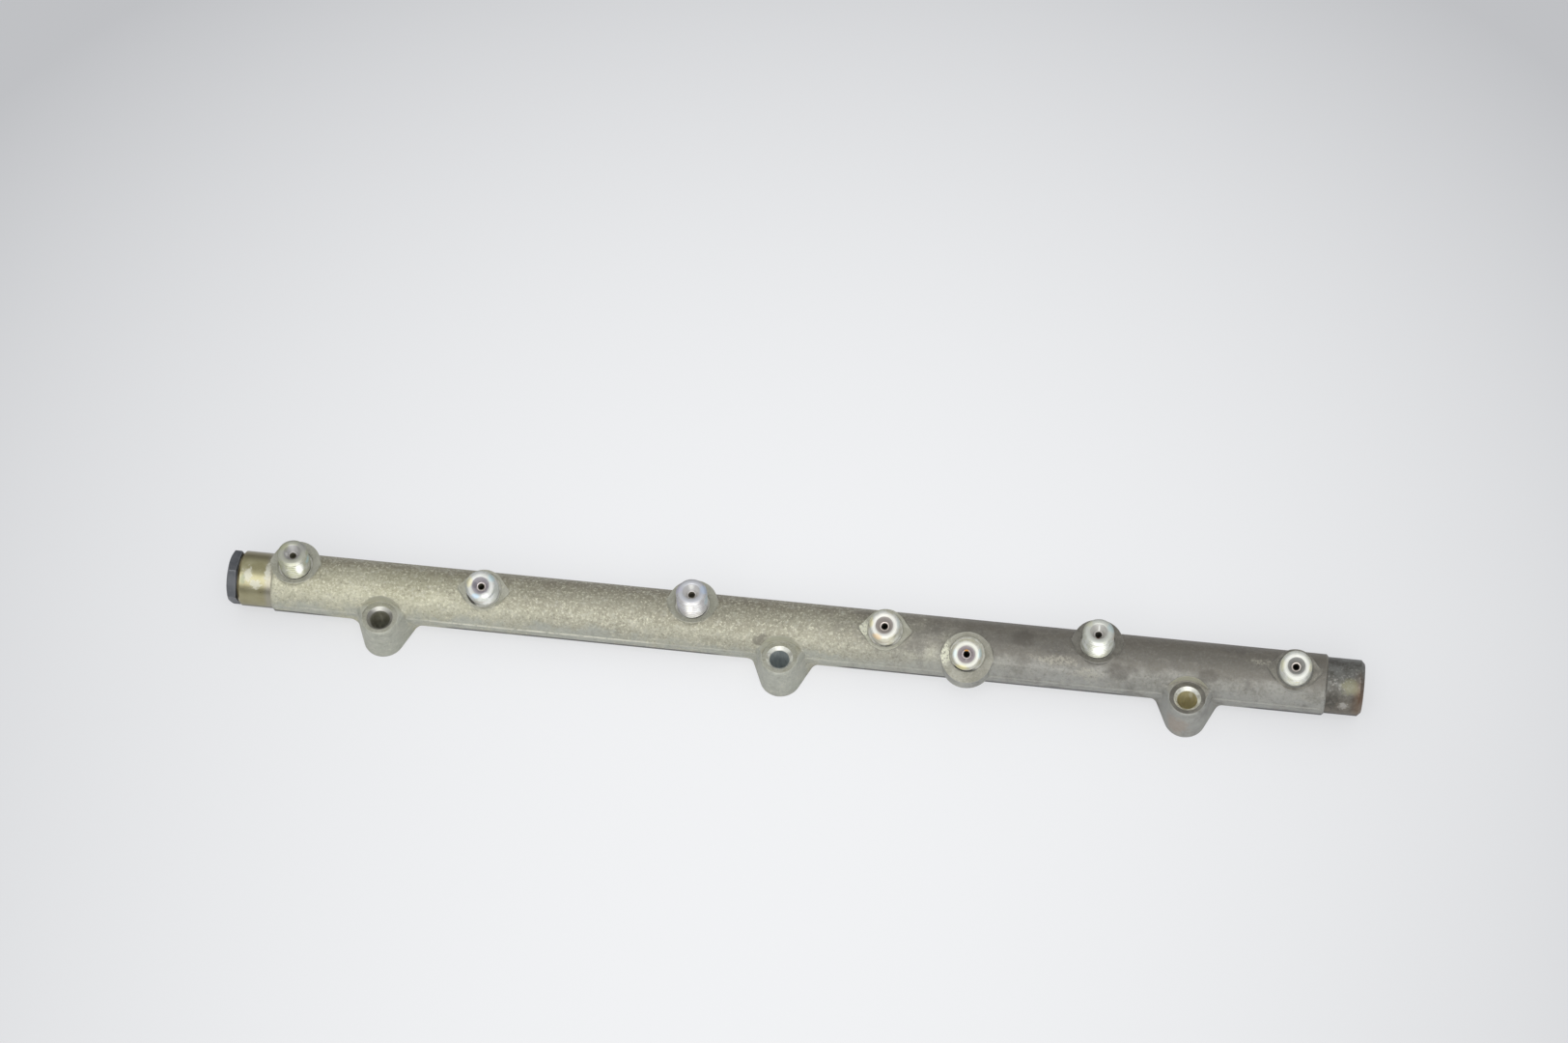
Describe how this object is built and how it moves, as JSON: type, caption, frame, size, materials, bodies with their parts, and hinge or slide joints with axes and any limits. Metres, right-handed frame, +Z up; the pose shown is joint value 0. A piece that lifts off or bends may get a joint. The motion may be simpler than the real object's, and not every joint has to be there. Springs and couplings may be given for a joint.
{
  "type": "fuel rail",
  "caption": "Forged high-pressure fuel rail for an in-line diesel engine, with threaded pipe stubs, bolt lugs and a hexagon end plug.",
  "frame": {"origin": "middle bolt hole's axis on the mounting face under the lugs", "axes": "+X along the rail away from the hexagon plug, +Z up along the bolts, +Y from the bolts towards the rail's axis"},
  "size_m": [0.5129, 0.042, 0.0388],
  "materials": {
    "forged_steel": "zinc-plated forging skin, turned where it is machined",
    "plug_steel": "dark blued steel"
  },
  "bodies": {
    "root": {"rail_body": "forged_steel", "end_plug": "plug_steel"}
  },
  "joints": []
}
